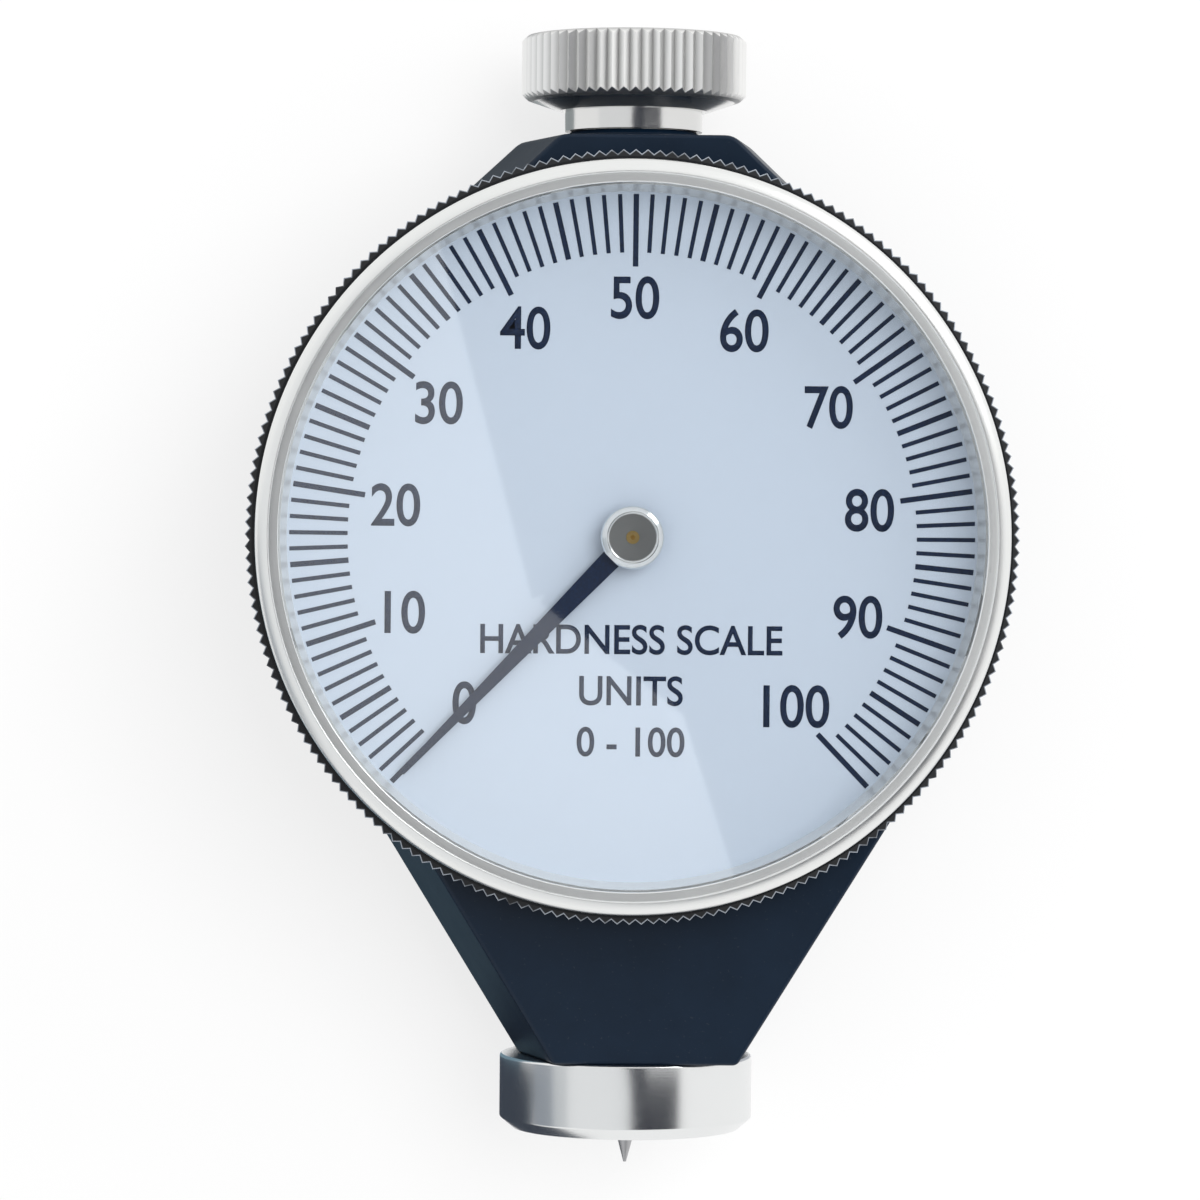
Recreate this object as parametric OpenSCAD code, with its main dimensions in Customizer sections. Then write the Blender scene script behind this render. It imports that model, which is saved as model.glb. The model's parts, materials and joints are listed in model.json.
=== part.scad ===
// Hand-held dial hardness gauge with a spring-loaded needle, lying on its back.
// +Y runs from the presser foot to the knob, +Z out through the dial, sizes in millimetres.
// The origin is on the dial axis, in the outer face of the rear cover.

/* [Housing] */
// Thickness of the casting, back to front
drum_t = 16.8; // [16:0.1:18]
// Wall of the drum around the movement
wall_t = 5; // [4.4:0.1:5.4]
// How far the side facets draw in towards the front
facet_inset = 1.4; // [1:0.1:2]
// Depth of the side facets behind the front face
facet_depth = 8; // [5:0.1:10]
// How far the front face sits to the reader's right, which narrows the right facets
front_shift = 0.85; // [0:0.05:1.1]
// Draft of the drum towards the front
drum_draft = 0.6; // [0.4:0.05:0.8]
// Rise of the top flat above the drum
top_rise = 1.5; // [1.2:0.1:2.4]
// Direction in which the shoulders face
shoulder_a = 46.5; // [44:0.5:49]
// Rounding of the shoulder corners
corner_r = 1.5; // [0.8:0.1:2]
// Reach of the stem below the drum
stem_len = 10.3; // [9.6:0.1:12]
// Width of the stem at its end
stem_w = 16.1; // [15:0.1:17]
// How far the stem sits to the reader's right of its bore
stem_shift = 0.4; // [0:0.05:0.5]
// Thickness of the rear cover
cover_t = 1.6; // [1.4:0.1:2]

/* [Foot and needle] */
// Diameter of the presser foot
foot_d = 18; // [16.5:0.1:18.4]
// Thickness of the presser foot
foot_t = 5.3; // [4.6:0.1:6]
// Chamfer round the sole of the foot
foot_c = 0.8; // [0.4:0.1:1.2]
// Hole in the sole for the needle
sole_hole_d = 3.2; // [2.6:0.1:3.6]
// Diameter of the needle
needle_d = 1.25; // [1.1:0.05:1.35]
// How far the needle stands out at rest, which is its travel
needle_out = 2.5; // [2.3:0.05:2.6]
// Cone angle of the needle point
needle_a = 30; // [26:1:35]
// Radius of the needle's blunted tip
needle_tip_r = 0.1; // [0.05:0.01:0.2]

/* [Plunger and spring] */
// Diameter of the plunger
plunger_d = 5; // [4.8:0.05:5.2]
// Outer diameter of the guide bush
bush_d = 8; // [7.6:0.1:8.4]
// Diameter of the plunger's upper rod
rod_d = 3; // [2.6:0.1:3.2]
// Wire diameter of the calibrated spring
spring_wire = 1.1; // [0.9:0.05:1.15]
// Mean diameter of the calibrated spring
spring_d = 5.3; // [5.1:0.05:5.4]
// Turns of the calibrated spring
spring_turns = 7; // [6:0.5:8]

/* [Movement] */
// Module of all the teeth
tooth_m = 0.25; // [0.24:0.005:0.26]
// Teeth of the pinion driven by the rack
rack_pinion_n = 20; // [18:1:22]
// Teeth in a full turn of the sector gear
sector_n = 76; // [72:1:80]
// Teeth of the pinion on the pointer arbor
centre_pinion_n = 16; // [16:1:18]
// Thickness of the movement plate
plate_t = 1.2; // [1:0.1:1.4]
// Thickness of the two bridges
bridge_t = 1; // [0.8:0.1:1.2]
// Thickness of the sector gear
gear_t = 1; // [0.8:0.1:1.2]
// Turns of the hairspring
hair_turns = 4; // [3:0.5:5]

/* [Dial and bezel] */
// Teeth of the knurl round the ring
knurl_n = 200; // [160:10:220]
// Depth of the knurls on ring and knob
knurl_depth = 0.35; // [0.2:0.05:0.45]
// Outer radius of the chrome bezel, which sets the size of the drum
bezel_r = 25.9; // [23.5:0.1:28.5]
// Width of the knurled rim outside the bezel
rim_w = 0.9; // [0.8:0.05:1.2]
// Width of the bezel from its lip to its outer edge
lip_w = 1.6; // [1.4:0.05:2]
// Thickness of the dial plate
dial_t = 0.5; // [0.4:0.05:0.8]
// Free height between dial and crystal
dial_room = 3.3; // [3.1:0.1:4]
// Thickness of the crystal
crystal_t = 1.2; // [1:0.1:1.6]
// Space between the pointer's tip and the bezel lip
pointer_gap = 1.5; // [1.2:0.1:4]
// Width of the pointer at the hub
pointer_w = 1.5; // [1:0.1:2]
// Diameter of the pointer hub
hub_d = 4.4; // [4:0.1:5]

/* [Knob] */
// Diameter over the knob's knurl
knob_d = 16; // [14:0.1:18]
// Height of the knob's head
knob_h = 5.3; // [4.4:0.1:6.2]
// Height of the cone under the knob's head
knob_cone_h = 0.8; // [0.6:0.05:1]
// Teeth of the knob's knurl
knob_n = 60; // [50:2:70]
// Step from the stud to the polished collar
collar_step = 0.9; // [0.7:0.05:1.4]
// Height of the polished collar
collar_h = 1.5; // [1.3:0.1:2.5]
// Diameter of the stud under the collar
stud_d = 8; // [7.6:0.1:8.4]

/* [Fits] */
// Radial clearance of turning and sliding fits
run_c = 0.05; // [0.03:0.005:0.08]
// Radial clearance of fixed fits
fix_c = 0.01; // [0.005:0.005:0.02]
// Clearance between faces that pass each other
pass_c = 0.3; // [0.2:0.02:0.36]
// Play between the flanks of the teeth
flank_c = 0.05; // [0.03:0.005:0.06]

/* [Hidden] */
$fn = 96;
knurl_r = bezel_r + rim_w;
lip_r = bezel_r - lip_w;
drum_r = knurl_r - 0.2;
top_y = drum_r + top_rise;
stem_drop = drum_r + stem_len;
pointer_len = lip_r - pointer_gap;
collar_d = stud_d + 2 * collar_step;
axis_z = cover_t + drum_t / 2;
front_z = cover_t + drum_t;
cavity_r = drum_r - wall_t;
stem_half = stem_w / 2;
stem_tan_r = drum_r - 0.4;
shoulder_tan_r = drum_r - 0.7;
boss_h = 0.7;
boss_y = top_y + boss_h;
foot_y = -stem_drop - foot_t;
tip_y = foot_y - needle_out;
plunger_r = plunger_d / 2;
bush_top_y = 0.8 - cavity_r;
bush_seat_y = bush_top_y - 1.4;
spigot_h = 4.4;
spigot_r = bush_d / 2 + 1;
bush_bottom_y = spigot_h - stem_drop;
plunger_y = bush_bottom_y - 1.2;
needle_top_y = plunger_y + 6;
grub_y = plunger_y + 2;
key_y = bush_bottom_y + 5.4;
key_r = 0.7;
collar_top_y = bush_top_y + 1.2;
seat_y = 6;
seat_t = 1.2;
plug_t = 3.1;
stud_y = boss_y - 2.8;
plug_y = stud_y - 0.4 - plug_t;
spring_y = seat_y + seat_t;
spring_len = plug_y - spring_y;
rod_top_y = stud_y - pass_c - needle_out;
pitch_p = PI * tooth_m;
rack_x = 2 * tooth_m - plunger_r;
arbor_x = rack_x - tooth_m * rack_pinion_n / 2;
gear_gap = tooth_m * (sector_n + centre_pinion_n) / 2;
arbor_y = -sqrt(gear_gap * gear_gap - arbor_x * arbor_x);
mesh_a = atan2(-arbor_y, -arbor_x);
sweep_a = needle_out / (tooth_m * rack_pinion_n / 2) * 180 / PI;
dial_sweep = sweep_a * sector_n / centre_pinion_n;
zero_a = 90 + dial_sweep / 2;
low_bridge_z = axis_z - plunger_r - 1.3 - bridge_t;
plate_z = axis_z + plunger_r + 1.1;
gear_z = plate_z + plate_t + 0.4;
bridge_z = gear_z + gear_t + 0.8;
hair_z = bridge_z + bridge_t + 0.4;
hair_h = 0.6;
hair_t = 0.14;
hair_r0 = 1.62;
hair_r1 = 4.7;
ring_z = front_z + pass_c;
dial_z = front_z + 1.8;
dial_top = dial_z + dial_t;
crystal_z = dial_top + dial_room;
crystal_top = crystal_z + crystal_t;
bezel_top = crystal_top + 0.8;
bezel_z = dial_top + 0.7;
ring_top = bezel_z + 0.9;
neck_r = lip_r - 0.9;
neck_top = dial_z - 0.2;
dial_r = lip_r + 0.2;
glass_r = lip_r + 0.43;
clip_z = (ring_z + dial_z) / 2 - 0.05;
clip_wire_r = 0.35;
plate_r = cavity_r - 0.4;
lug_r = cavity_r - 2.7;
lug_a = [35, 145, 215, 325];
cover_r = drum_r - 1.7;
screw_r = cavity_r + 1.7;
screw_a = [45, 135, 225, 315];
hub_r = hub_d / 2;
hub_z = dial_top + 0.25;
blade_z = hub_z + 0.35;
blade_t = 0.25;
hub_top = hub_z + 1.95;
along = [cos(mesh_a + 180), sin(mesh_a + 180)];
post_r = 1.6;
post_room = 0.8;
post_head_r = 1.5;
sector_hub_r = 2.2;
high_post = [-hair_r1 - post_head_r - 2 * pass_c, gear_gap + sector_hub_r + post_r + post_room];
low_post_r = tooth_m * (rack_pinion_n / 2 + 1) + post_r + post_room;
low_post = [for (a = [135, 232]) [arbor_x, arbor_y] + polar(low_post_r, a)];

// A point at radius r and angle a
function polar(r, a) = [r * cos(a), r * sin(a)];

// Involute of an angle, in degrees
function inv(a) = tan(a) * 180 / PI - a;

// Half the angle that a tooth of a gear with n teeth takes at radius r
function half_tooth(n, r) = let (rp = tooth_m * n / 2, rb = rp * cos(20))
  90 / n - flank_c / 2 / rp * 180 / PI + inv(20) - inv(acos(min(1, rb / r)));

// Radii at which a tooth flank is drawn
function flank_radii(n) = let (
    rp = tooth_m * n / 2,
    rf = rp - 1.25 * tooth_m,
    r0 = max(rf, rp * cos(20)),
    ra = rp + tooth_m
  ) concat(r0 - rf > 0.01 ? [rf] : [], [for (i = [0:3]) r0 + (ra - r0) * i / 3]);

// Outline of the teeth at places k0 to k1, the first place at angle a
function teeth(n, a, k0, k1) = let (radii = flank_radii(n), last = len(radii) - 1) [
  for (k = [k0:k1], side = [-1, 1], i = [0:last])
    let (r = radii[side < 0 ? i : last - i])
    polar(r, a + k * 360 / n + side * half_tooth(n, r))
];

// Outline of a straight knurl with n teeth
function knurl(r, n) = [for (i = [0:2 * n - 1]) polar(r - (i % 2) * knurl_depth, i * 180 / n)];

// Normal direction of the line from the end of the stem that just touches a circle
function side_a(half, drop, r) = atan2(drop, half) - acos(r / norm([half, drop]));

// Outline of the stem, from inside the drum to its end
function stem_outline(inset) = let (
    a = side_a(stem_half, stem_drop, stem_tan_r),
    half = stem_half - inset / cos(a),
    p = polar(stem_tan_r - inset, -a)
  ) [[-half, -stem_drop], [half, -stem_drop], p, [-p[0], p[1]]];

// Outline of the shoulders with their rounded corners
function shoulder_outline(inset) = let (
    d = shoulder_tan_r - inset,
    cy = top_y - corner_r,
    cx = (d - corner_r - sin(shoulder_a) * cy) / cos(shoulder_a),
    p = polar(d, shoulder_a),
    arc = [for (i = [0:4]) shoulder_a + (90 - shoulder_a) * i / 4],
    right = [for (a = arc) [cx, cy] + polar(corner_r, a)]
  ) concat([p], right, [for (i = [4:-1:0]) [-right[i][0], right[i][1]]], [[-p[0], p[1]]]);

// An outline moved sideways
function shifted(outline, x) = [for (p = outline) p + [x, 0]];

// Middle line of the calibrated spring, with closed ends
function spring_rise(t) = let (
    closed = 0.8,
    step = spring_wire * 1.12,
    rise = spring_len - spring_wire,
    free = (rise - 2 * closed * step) / (spring_turns - 2 * closed)
  ) t < closed ? t * step
    : t > spring_turns - closed ? rise - (spring_turns - t) * step
    : closed * step + (t - closed) * free;

// Puts a piece drawn along +Z on the stem axis, starting at height y
module on_stem(y) {
  translate([0, y, axis_z])
    rotate([-90, 0, 0])
      children();
}

// A solid between two outlines with matching points
module loft(low, high, h) {
  n = len(low);
  polyhedron(
    points = concat([for (p = low) [p[0], p[1], 0]], [for (p = high) [p[0], p[1], h]]),
    faces = concat(
      [[for (i = [0:n - 1]) i]],
      [[for (i = [n - 1:-1:0]) n + i]],
      [for (i = [0:n - 1]) [i, n + i, n + (i + 1) % n, (i + 1) % n]]
    )
  );
}

// A drum or block side: straight at the back, drawn in towards the front
module faceted_block(low, high) {
  straight = drum_t - facet_depth;
  translate([0, 0, cover_t])
    linear_extrude(straight)
      polygon(low);
  translate([0, 0, cover_t + straight])
    loft(low, high, facet_depth);
}

// A cheese-head screw pointing down, the underside of its head at z = 0
module screw(head_r, head_h, shank_r, shank_h) {
  difference() {
    cylinder(r = head_r, h = head_h);
    translate([-head_r - 1, -0.15, head_h - 0.3])
      cube([2 * head_r + 2, 0.3, 1]);
  }
  translate([0, 0, -shank_h])
    cylinder(r = shank_r, h = shank_h);
}

module housing() {
  color([0.08, 0.1, 0.13]) {
    difference() {
      union() {
        translate([0, 0, cover_t])
          cylinder(r = drum_r, h = drum_t - facet_depth);
        translate([0, 0, front_z - facet_depth])
          cylinder(r1 = drum_r, r2 = drum_r - drum_draft, h = facet_depth);
        translate([0, 0, front_z - 1])
          cylinder(r = neck_r, h = neck_top - front_z + 1);
        faceted_block(
          shifted(stem_outline(0), stem_shift),
          shifted(stem_outline(facet_inset), stem_shift + front_shift)
        );
        faceted_block(shoulder_outline(0), shifted(shoulder_outline(facet_inset), front_shift));
        on_stem(top_y - 1) {
          cylinder(d = collar_d - 0.2, h = 1.4);
          translate([0, 0, 1.4])
            cylinder(d1 = collar_d - 0.2, d2 = collar_d - 0.8, h = boss_h - 0.4);
        }
      }
      translate([0, 0, -1])
        cylinder(r = cavity_r, h = neck_top + 2);
      on_stem(-stem_drop - 1)
        cylinder(r = spigot_r + fix_c, h = spigot_h + 1);
      on_stem(-stem_drop)
        cylinder(d = bush_d + 2 * fix_c, h = stem_drop - cavity_r + 2);
      on_stem(bush_seat_y)
        cylinder(r = spigot_r + 0.2, h = 4);
      on_stem(cavity_r - 2)
        cylinder(d = stud_d + 2 * run_c, h = boss_y - cavity_r + 3);
      translate([0, 0, clip_z - 0.4])
        difference() {
          cylinder(r = neck_r + 1, h = 0.8);
          translate([0, 0, -1])
            cylinder(r = neck_r - 0.45, h = 3);
        }
      for (a = screw_a)
        translate(concat(polar(screw_r, a), cover_t - 1))
          cylinder(r = 0.8, h = 5.5);
    }
    difference() {
      for (a = lug_a)
        translate(concat(polar(lug_r, a), low_bridge_z - 1))
          cylinder(r = 3, h = plate_z - low_bridge_z + 1);
      for (a = lug_a)
        translate(concat(polar(lug_r, a), plate_z - 5))
          cylinder(r = 0.8, h = 6);
    }
  }
}

module rear_cover() {
  color([0.1, 0.11, 0.13])
    difference() {
      union() {
        translate([0, 0, 0.4])
          cylinder(r = cover_r, h = cover_t - 0.4);
        cylinder(r1 = cover_r - 0.4, r2 = cover_r, h = 0.4);
        cylinder(r = cavity_r - run_c, h = cover_t + 1.4);
      }
      translate([0, 0, cover_t])
        cylinder(r = cavity_r - 1.6, h = 3);
      for (a = screw_a)
        translate(concat(polar(screw_r, a), -1))
          cylinder(r = 0.8 + run_c, h = 4);
      for (a = screw_a)
        translate(concat(polar(screw_r, a), -0.01))
          cylinder(r1 = 1.6 + run_c, r2 = 0.8 + run_c, h = 0.91);
    }
}

module rear_cover_screws() {
  color([0.7, 0.7, 0.72])
    for (a = screw_a)
      translate(concat(polar(screw_r, a), 0))
        rotate([0, 0, a])
          difference() {
            union() {
              translate([0, 0, 0.08])
                cylinder(r1 = 1.6 - 0.08, r2 = 0.8, h = 0.8);
              translate([0, 0, 0.5])
                cylinder(r = 0.8 - fix_c, h = 5.4);
            }
            translate([-2, -0.2, -1])
              cube([4, 0.4, 1.45]);
          }
}

module presser_foot() {
  color([0.82, 0.83, 0.84])
    on_stem(foot_y)
      difference() {
        union() {
          cylinder(d1 = foot_d - 2 * foot_c, d2 = foot_d, h = foot_c);
          translate([0, 0, foot_c])
            cylinder(d = foot_d, h = foot_t - foot_c - 0.25);
          translate([0, 0, foot_t - 0.25])
            cylinder(d1 = foot_d, d2 = foot_d - 0.5, h = 0.25);
          cylinder(r = spigot_r, h = foot_t + spigot_h);
        }
        translate([0, 0, -1])
          cylinder(d = sole_hole_d, h = foot_t + 4);
        translate([0, 0, 1.6])
          cylinder(r = plunger_r + pass_c, h = foot_t + spigot_h);
      }
}

module guide_bush() {
  color([0.8, 0.65, 0.35])
    difference() {
      union() {
        on_stem(bush_bottom_y)
          cylinder(d = bush_d, h = bush_top_y - bush_bottom_y);
        on_stem(bush_seat_y)
          cylinder(r = spigot_r, h = bush_top_y - bush_seat_y);
      }
      on_stem(bush_bottom_y - 1)
        cylinder(r = plunger_r + run_c, h = bush_top_y - bush_bottom_y + 2);
      translate([1, key_y, axis_z])
        rotate([0, 90, 0])
          cylinder(r = key_r + fix_c, h = bush_d);
    }
}

module key_pin() {
  color([0.7, 0.7, 0.72])
    translate([plunger_r - 0.5, key_y, axis_z])
      rotate([0, 90, 0])
        cylinder(r = key_r, h = bush_d / 2 - plunger_r + 0.45);
}

module adjusting_plug() {
  color([0.8, 0.65, 0.35])
    on_stem(plug_y)
      difference() {
        cylinder(d = stud_d, h = plug_t);
        translate([0, 0, -1])
          cylinder(d = rod_d + 2 * run_c, h = plug_t + 2);
        translate([-stud_d, -0.5, plug_t - 1])
          cube([2 * stud_d, 1, 2]);
      }
}

module calibrated_spring() {
  sides = 8;
  steps = 16;
  count = round(spring_turns * steps);
  color([0.55, 0.57, 0.6])
    on_stem(spring_y + spring_wire / 2)
      polyhedron(
        points = [
          for (i = [0:count], j = [0:sides - 1])
            let (
              a = 360 * i / steps,
              r = spring_d / 2 + spring_wire / 2 * cos(360 * j / sides)
            )
            [r * cos(a), r * sin(a), spring_rise(i / steps) + spring_wire / 2 * sin(360 * j / sides)]
        ],
        faces = concat(
          [[for (j = [0:sides - 1]) j]],
          [[for (j = [sides - 1:-1:0]) count * sides + j]],
          [
            for (i = [0:count - 1], j = [0:sides - 1], half = [0, 1])
              let (p = i * sides + j, q = i * sides + (j + 1) % sides)
              half == 0 ? [p, p + sides, q + sides] : [p, q + sides, q]
          ]
        )
      );
}

module movement_plate() {
  color([0.85, 0.7, 0.4])
    translate([0, 0, plate_z])
      difference() {
        cylinder(r = plate_r, h = plate_t);
        translate([0, 0, -1])
          cylinder(r = 0.5 + run_c, h = plate_t + 2);
        translate([arbor_x, arbor_y, -1])
          cylinder(r = 1 + run_c, h = plate_t + 2);
        for (a = lug_a)
          translate(concat(polar(lug_r, a), -1))
            cylinder(r = 0.8 + run_c, h = plate_t + 2);
        for (p = [[9, 4.5], [-9, 4.5], [7.5, -6]])
          translate(concat(p, -1))
            cylinder(r = 2.6, h = plate_t + 2);
        translate([0, -plate_r - 2, axis_z - plate_z])
          rotate([-90, 0, 0])
            cylinder(r = spigot_r + pass_c, h = plate_r + 2 + bush_top_y + pass_c);
      }
}

module movement_plate_screws() {
  color([0.6, 0.62, 0.66])
    for (a = lug_a)
      translate(concat(polar(lug_r, a), plate_z + plate_t))
        rotate([0, 0, a])
          screw(1.6, 0.9, 0.8 - fix_c, 5.2);
}

module upper_bridge() {
  color([0.85, 0.7, 0.4])
    translate([0, 0, bridge_z])
      difference() {
        union() {
          for (s = high_post)
            translate(along * s)
              cylinder(r = post_r + 0.8, h = bridge_t);
          rotate([0, 0, mesh_a + 180])
            translate([high_post[0], -post_r - 0.4, 0])
              cube([high_post[1] - high_post[0], 2 * post_r + 0.8, bridge_t]);
        }
        translate([0, 0, -1])
          cylinder(r = 0.8 + run_c, h = 4);
        translate([arbor_x, arbor_y, -1])
          cylinder(r = 0.6 + run_c, h = 4);
        for (s = high_post)
          translate(concat(along * s, -1))
            cylinder(r = 0.7 + run_c, h = 4);
        translate(concat(along * (hair_r1 + 0.55), -1))
          cylinder(r = 0.4 + fix_c, h = 4);
      }
}

module upper_pillars() {
  color([0.7, 0.7, 0.72])
    for (s = high_post)
      translate(concat(along * s, plate_z + plate_t))
        difference() {
          cylinder(r = post_r, h = bridge_z - plate_z - plate_t);
          translate([0, 0, -1])
            cylinder(r = 0.7, h = 9);
        }
}

module upper_bridge_screws() {
  color([0.6, 0.62, 0.66])
    for (s = high_post)
      translate(concat(along * s, bridge_z + bridge_t))
        screw(post_head_r, 0.8, 0.7 - fix_c, bridge_t + 1.8);
}

module lower_bridge() {
  feet = concat(low_post, [[arbor_x, arbor_y]]);
  color([0.85, 0.7, 0.4])
    translate([0, 0, low_bridge_z])
      difference() {
        union() {
          for (p = feet)
            translate(p)
              cylinder(r = post_r + 0.6, h = bridge_t);
          linear_extrude(bridge_t)
            polygon(feet);
        }
        translate([arbor_x, arbor_y, -1])
          cylinder(r = 0.6 + run_c, h = 4);
        for (p = low_post)
          translate(concat(p, -1))
            cylinder(r = 0.7 + run_c, h = 4);
      }
}

module lower_pillars() {
  color([0.7, 0.7, 0.72])
    for (p = low_post)
      translate(concat(p, low_bridge_z + bridge_t))
        difference() {
          cylinder(r = post_r, h = plate_z - low_bridge_z - bridge_t);
          translate([0, 0, -1])
            cylinder(r = 0.7, h = 5);
        }
}

module lower_bridge_screws() {
  color([0.6, 0.62, 0.66])
    for (p = low_post)
      translate(concat(p, low_bridge_z))
        rotate([180, 0, 0])
          screw(post_head_r, 0.8, 0.7 - fix_c, bridge_t + 3);
}

module hairspring() {
  count = round(hair_turns * 24);
  turn_a = mesh_a + 180 - hair_turns * 360;
  path = [for (i = [0:count]) [hair_r0 + (hair_r1 - hair_r0) * i / count, turn_a + i * 15]];
  color([0.4, 0.45, 0.6])
    translate([0, 0, hair_z])
      linear_extrude(hair_h)
        polygon(concat(
          [for (p = path) polar(p[0] + hair_t / 2, p[1])],
          [for (i = [count:-1:0]) polar(path[i][0] - hair_t / 2, path[i][1])]
        ));
}

module hairspring_stud() {
  color([0.8, 0.65, 0.35])
    translate(concat(along * (hair_r1 + 0.55), bridge_z))
      cylinder(r = 0.4, h = hair_z + hair_h + 0.1 - bridge_z);
}

module bezel_clip() {
  color([0.6, 0.62, 0.66])
    translate([0, 0, clip_z])
      rotate([0, 0, 110])
        rotate_extrude(angle = 320)
          translate([neck_r, 0])
            circle(r = clip_wire_r, $fn = 24);
}

module plunger() {
  gap_half = pitch_p / 4 + flank_c / 2;
  slope = tan(20);
  tip_x = tooth_m;
  root_x = -1.25 * tooth_m;
  color([0.75, 0.76, 0.78])
    difference() {
      union() {
        on_stem(plunger_y)
          cylinder(r = plunger_r, h = seat_y + seat_t / 2 - plunger_y);
        on_stem(bush_top_y)
          cylinder(r = plunger_r + 0.8, h = collar_top_y - bush_top_y);
        on_stem(seat_y)
          cylinder(r = spring_d / 2 + spring_wire / 2 - 0.1, h = seat_t);
        on_stem(seat_y)
          cylinder(d = rod_d, h = rod_top_y - seat_y);
      }
      on_stem(plunger_y - 1)
        cylinder(d = needle_d + 2 * fix_c, h = needle_top_y - plunger_y + 1.2);
      translate([0, grub_y, axis_z])
        cylinder(r = 0.6, h = 5);
      translate([plunger_r - 0.6, key_y - key_r - needle_out - 0.4, axis_z - key_r - run_c])
        cube([2, 2 * key_r + needle_out + 0.8, 2 * (key_r + run_c)]);
      translate([rack_x - tip_x - 2, arbor_y - 2 * pitch_p - needle_out - 0.9, axis_z - 4])
        cube([2, 4 * pitch_p + needle_out + 1.4, 8]);
      for (k = [-6:3])
        translate([rack_x, arbor_y + k * pitch_p, axis_z - 4])
          linear_extrude(8)
            polygon([
              [-root_x, gap_half + root_x * slope],
              [-tip_x - 0.3, gap_half + (tip_x + 0.3) * slope],
              [-tip_x - 0.3, -gap_half - (tip_x + 0.3) * slope],
              [-root_x, -gap_half - root_x * slope]
            ]);
    }
}

module indentor() {
  cone_h = (needle_d / 2 - needle_tip_r) / tan(needle_a / 2);
  color([0.85, 0.86, 0.87])
    on_stem(tip_y) {
      cylinder(r1 = needle_tip_r, r2 = needle_d / 2, h = cone_h);
      translate([0, 0, cone_h])
        cylinder(d = needle_d, h = needle_top_y - tip_y - cone_h);
    }
}

module indentor_screw() {
  color([0.6, 0.62, 0.66])
    translate([0, grub_y, axis_z + needle_d / 2 + 0.02])
      difference() {
        cylinder(r = 0.6 - fix_c, h = plunger_r - needle_d / 2 - 0.12);
        translate([-2, -0.12, plunger_r - needle_d / 2 - 0.5])
          cube([4, 0.24, 2]);
      }
}

module sector_gear() {
  color([0.85, 0.7, 0.4])
    translate([arbor_x, arbor_y, gear_z])
      difference() {
        union() {
          linear_extrude(gear_t)
            polygon(concat([[0, 0]], teeth(sector_n, mesh_a + 180 / sector_n, -15, 1)));
          cylinder(r = sector_hub_r, h = gear_t);
        }
        translate([0, 0, -1])
          cylinder(r = 1 + fix_c, h = gear_t + 2);
        translate(concat(polar(6, mesh_a - sweep_a / 2), -1))
          cylinder(r = 1.8, h = gear_t + 2);
      }
}

module sector_arbor() {
  color([0.75, 0.76, 0.78])
    translate([arbor_x, arbor_y, 0]) {
      translate([0, 0, low_bridge_z + 0.1])
        cylinder(r = 0.6, h = bridge_z + bridge_t - low_bridge_z - 0.2);
      translate([0, 0, low_bridge_z + bridge_t + 0.15])
        cylinder(r = 1, h = bridge_z - low_bridge_z - bridge_t - 0.3);
      translate([0, 0, axis_z - 1.4])
        linear_extrude(2.8)
          polygon(teeth(rack_pinion_n, 0, 0, rack_pinion_n - 1));
    }
}

module pointer_arbor() {
  centre_depth = 0.18;
  color([0.8, 0.66, 0.38]) {
    translate([0, 0, plate_z + 0.1])
      cylinder(r = 0.5, h = 2);
    translate([0, 0, plate_z + plate_t + 0.12])
      cylinder(r = 0.8, h = hub_z - plate_z - plate_t - 0.2);
    translate([0, 0, hub_z - 1])
      difference() {
        cylinder(r = 0.45, h = hub_top - hub_z + 1.05);
        translate([0, 0, hub_top - hub_z + 1.05 - centre_depth])
          cylinder(r1 = 0, r2 = centre_depth, h = centre_depth);
      }
    translate([0, 0, gear_z - 0.2])
      linear_extrude(gear_t + 0.4)
        polygon(teeth(centre_pinion_n, mesh_a + 180, 0, centre_pinion_n - 1));
  }
}

module hairspring_collet() {
  color([0.8, 0.65, 0.35])
    translate([0, 0, hair_z - 0.2])
      difference() {
        cylinder(r = hair_r0 - hair_t / 2 - 0.03, h = hair_h + 0.4);
        translate([0, 0, -1])
          cylinder(r = 0.8 + fix_c, h = 4);
      }
}

module pointer_needle() {
  tip_w = 0.38;
  color([0.1, 0.13, 0.2])
    translate([0, 0, blade_z])
      rotate([0, 0, zero_a])
        difference() {
          union() {
            cylinder(r = 1.8, h = blade_t);
            linear_extrude(blade_t)
              polygon([
                [1, -pointer_w / 2],
                [pointer_len, -tip_w / 2],
                [pointer_len, tip_w / 2],
                [1, pointer_w / 2]
              ]);
          }
          translate([0, 0, -1])
            cylinder(r = 1.1 + fix_c, h = 3);
        }
}

module pointer_hub() {
  color([0.8, 0.81, 0.83])
    difference() {
      union() {
        translate([0, 0, hub_z])
          cylinder(r = 1.1, h = 1);
        translate([0, 0, blade_z + blade_t])
          cylinder(r = hub_r, h = hub_top - blade_z - blade_t - 0.5);
        translate([0, 0, hub_top - 0.5])
          cylinder(r1 = hub_r, r2 = hub_r - 0.6, h = 0.5);
      }
      translate([0, 0, hub_z - 1])
        cylinder(r = 0.45 + fix_c, h = 9);
    }
}

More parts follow.
